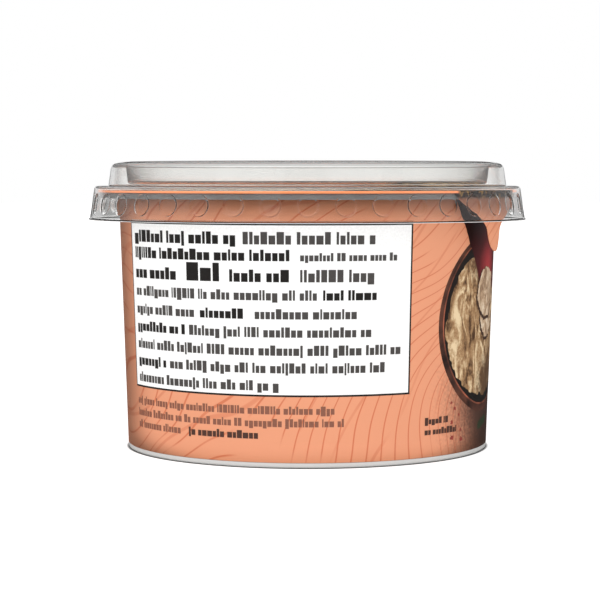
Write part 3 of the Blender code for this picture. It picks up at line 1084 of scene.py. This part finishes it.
class DIP_OT_stage(bpy.types.Operator):
    """Makes the floor, the light and the camera of the shown view"""

    bl_idname = "dip_tub.stage"
    bl_label = "Stage"

    def execute(self, context):
        stage = context.scene.dip_stage
        shape = bmesh.new()
        bmesh.ops.create_circle(shape, cap_ends=True, segments=96, radius=stage.floor_radius)
        mesh = bpy.data.meshes.new("floor")
        shape.to_mesh(mesh)
        shape.free()
        mesh.materials.append(self.backdrop_paper(stage))
        floor = bpy.data.objects.new("floor", mesh)
        context.scene.collection.objects.link(floor)
        floor.visible_glossy = False
        self.make_studio(context)
        self.make_key(context)
        self.make_camera(context, stage)
        context.scene.view_settings.view_transform = "Standard"
        return {"FINISHED"}

    @staticmethod
    def backdrop_paper(stage):
        """Backdrop paper, lit from below so that it stays white up to a ring round the tub's foot, where its
        glow fades and a painted shadow darkens it.

        Far off, and as light under the clear lid, it counts as a dimmer part of the room.
        """
        matt = {"Roughness": 0.9, "Emission Color": "#FFFFFF"}
        paper, tree, shader = new_material("pale backdrop paper", stage.floor, matt)
        place = add(tree, "TexCoord").outputs["Object"]
        away = add(tree, "VectorMath", (place,), **LENGTH)
        foot = 0.0353
        glow = add(tree, "MapRange", (away, foot, 0.0359, 0.0, 0.76))
        plug(glow, shader.inputs["Emission Strength"])
        # Painted shadow: a thin ring round the foot is mixed towards black.
        painted_contact_shadow = add(tree, "MapRange", (away, foot, 0.0358, 0.7, 0.0))
        far = add(tree, "MapRange", (away, 0.6, 1.6, 0.0, 0.62))
        ray, bounced, diffused, deep = ray_history(tree)
        dim = add(tree, "Math", (deep, 0.5, 0.4), **TIMES_PLUS)
        dim = add(tree, "Math", (dim, bounced), **TIMES)
        lighter = add(tree, "Math", (diffused, -0.88, 1.0), **TIMES_PLUS)
        dim = add(tree, "Math", (dim, lighter), **TIMES)
        dim = add(tree, "Math", (dim, far), **LARGER)
        dim = add(tree, "Math", (dim, ray["Is Transmission Ray"]), **TIMES)
        dim = add(tree, "Math", (dim, painted_contact_shadow), **LARGER)
        unlit = add(tree, "BsdfDiffuse", ("#000000",))
        dimmed = add(tree, "MixShader", (dim, shader, unlit))
        plug(dimmed, tree.nodes["Material Output"].inputs["Surface"])
        return paper

    @staticmethod
    def make_studio(context):
        """A pale studio: white behind the tub, and soft light from all sides, strongest in front."""
        world = bpy.data.worlds.new("studio")
        context.scene.world = world
        world.use_nodes = True
        tree = world.node_tree
        background = tree.nodes["Background"]
        background.inputs["Strength"].default_value = 2.0
        place = add(tree, "TexCoord").outputs["Generated"]
        parts = add(tree, "SeparateXYZ", (place,)).outputs
        height, front_to_back = parts["Z"], parts["Y"]
        ray, bounced, diffused, deep = ray_history(tree)
        # Seen directly or through the lid: a white wall, a darker room over it, a bright ceiling.
        # Through the lid, the ground beyond the horizon is dimmer than the wall.
        stops = [(0.20, 0.5), (0.27, 0.14), (0.72, 0.14), (0.85, 1.0)]
        upward = set_ramp(add(tree, "ValToRGB", (height,)), stops)
        horizon = add(tree, "MapRange", (height, -0.0022, -0.0004, 0.32, 1.0), **SOFT_STEP)
        low_wall = add(tree, "MapRange", (height, 0.015, 0.05, 1.25, 0.72), **SOFT_STEP)
        ceiling = add(tree, "Math", (height, 0.7), **ABOVE)
        walls = add(tree, "Math", (low_wall, ceiling), **LARGER)
        through = add(tree, "Math", (upward, horizon), **TIMES)
        through = add(tree, "Math", (through, walls), **TIMES)
        # As light under the lid: dim from the sides, brighter in front and above, with a bright horizon.
        stops = [(0.0, 0.24), (0.004, 0.5), (0.02, 0.5), (0.04, 0.24), (0.70, 0.24), (0.85, 1.7)]
        inside = set_ramp(add(tree, "ValToRGB", (height,)), stops)
        ahead = add(tree, "MapRange", (front_to_back, -0.3, -0.95, 1.0, 2.8))
        under_lid = add(tree, "Math", (inside, ahead), **TIMES)
        # As light: even all round, a little stronger in front.
        even = add(tree, "MapRange", (front_to_back, -1.0, 1.0, 0.5, 0.3))
        # As a reflection: soft strips at both sides and dark behind, which draws the clear edges.
        facing = add(tree, "MapRange", (front_to_back, -1.0, 1.0))
        stops = [(0.0, 0.02), (0.35, 0.03), (0.52, 0.05), (0.70, 0.02)]
        strips = set_ramp(add(tree, "ValToRGB", (facing,)), stops)
        # A low band of light gives level glossy faces their glare when they are seen almost edge on.
        stops = [(0.01, 0.0), (0.04, 0.45), (0.075, 0.45), (0.1, 0.0)]
        low_band = set_ramp(add(tree, "ValToRGB", (height,)), stops)
        mirrored = add(tree, "Math", (strips, low_band), **LARGER)
        # Mirrored inside the clear wall: dark towards the camera and from prints under the lid, else pale.
        rims = set_ramp(add(tree, "ValToRGB", (facing,)), [(0.12, 0.03), (0.3, 0.42)])
        rim_light = add(tree, "Math", (deep, -0.85, 1.0), **TIMES_PLUS)
        rim_light = add(tree, "Math", (rims, rim_light), **TIMES)
        inside_wall = ray["Is Transmission Ray"]
        shown = even
        for amount, tone in (
            (ray["Is Glossy Ray"], mirrored),
            (ray["Is Camera Ray"], upward),
            (inside_wall, through),
            (add(tree, "Math", (inside_wall, bounced), **TIMES), rim_light),
            (add(tree, "Math", (inside_wall, diffused), **TIMES), under_lid),
        ):
            shown = add(tree, "Mix", (amount, shown, tone), **OF_COLOURS)
        plug(shown, background.inputs["Color"])

    @staticmethod
    def make_key(context):
        """A large soft key light from the upper front left."""
        data = bpy.data.lights.new("key_softbox", "AREA")
        data.shape = "SQUARE"
        data.size = 0.8
        data.energy = 1.5
        light = bpy.data.objects.new("key_softbox", data)
        light.location = (-0.5, -0.75, 0.7)
        tub_middle = Vector((0, 0, 0.03))
        aim = tub_middle - light.location
        light.rotation_euler = aim.to_track_quat("-Z", "Y").to_euler()
        light.visible_glossy = False
        context.scene.collection.objects.link(light)

    @staticmethod
    def make_camera(context, stage):
        """The camera in front of the tub, a little above it and looking slightly down."""
        data = bpy.data.cameras.new("photo_camera")
        data.lens = stage.lens
        data.sensor_width = 36.0
        data.clip_start = 0.01
        data.clip_end = 50.0
        camera = bpy.data.objects.new("photo_camera", data)
        camera.location = (stage.aside, -stage.distance, stage.height)
        camera.rotation_euler = (math.pi / 2 - stage.pitch, 0.0, 0.0)
        context.scene.collection.objects.link(camera)
        context.scene.camera = camera


class DIP_PT_panel(bpy.types.Panel):
    """Lists the tub's pieces and their settings"""

    bl_label = "Tub of cheese dip"
    bl_space_type = "VIEW_3D"
    bl_region_type = "UI"
    bl_category = "Dip tub"

    def draw(self, context):
        for operator in OPERATORS:
            self.layout.operator(operator.bl_idname)
        for group, settings in SETTINGS.items():
            box = self.layout.box()
            box.label(text=settings.__doc__)
            for name in settings.__annotations__:
                box.prop(getattr(context.scene, group), name)


SETTINGS = {
    "dip_tub": TubSettings,
    "dip_sleeve": SleeveSettings,
    "dip_film": FilmSettings,
    "dip_lid": LidSettings,
    "dip_stage": StageSettings,
}
OPERATORS = (
    DIP_OT_white_tub,
    DIP_OT_sleeve,
    DIP_OT_panel,
    DIP_OT_picture,
    DIP_OT_film,
    DIP_OT_lid,
    DIP_OT_stage,
)


def register():
    for group, settings in SETTINGS.items():
        bpy.utils.register_class(settings)
        setattr(bpy.types.Scene, group, PointerProperty(type=settings))
    for item in (*OPERATORS, DIP_PT_panel):
        bpy.utils.register_class(item)


def unregister():
    for item in (*OPERATORS, DIP_PT_panel):
        bpy.utils.unregister_class(item)
    for group, settings in SETTINGS.items():
        delattr(bpy.types.Scene, group)
        bpy.utils.unregister_class(settings)


def main():
    register()
    bpy.ops.dip_tub.white_tub()
    bpy.ops.dip_tub.sleeve()
    bpy.ops.dip_tub.panel()
    bpy.ops.dip_tub.picture()
    bpy.ops.dip_tub.film()
    bpy.ops.dip_tub.lid()
    bpy.ops.dip_tub.stage()


if __name__ == "__main__":
    main()
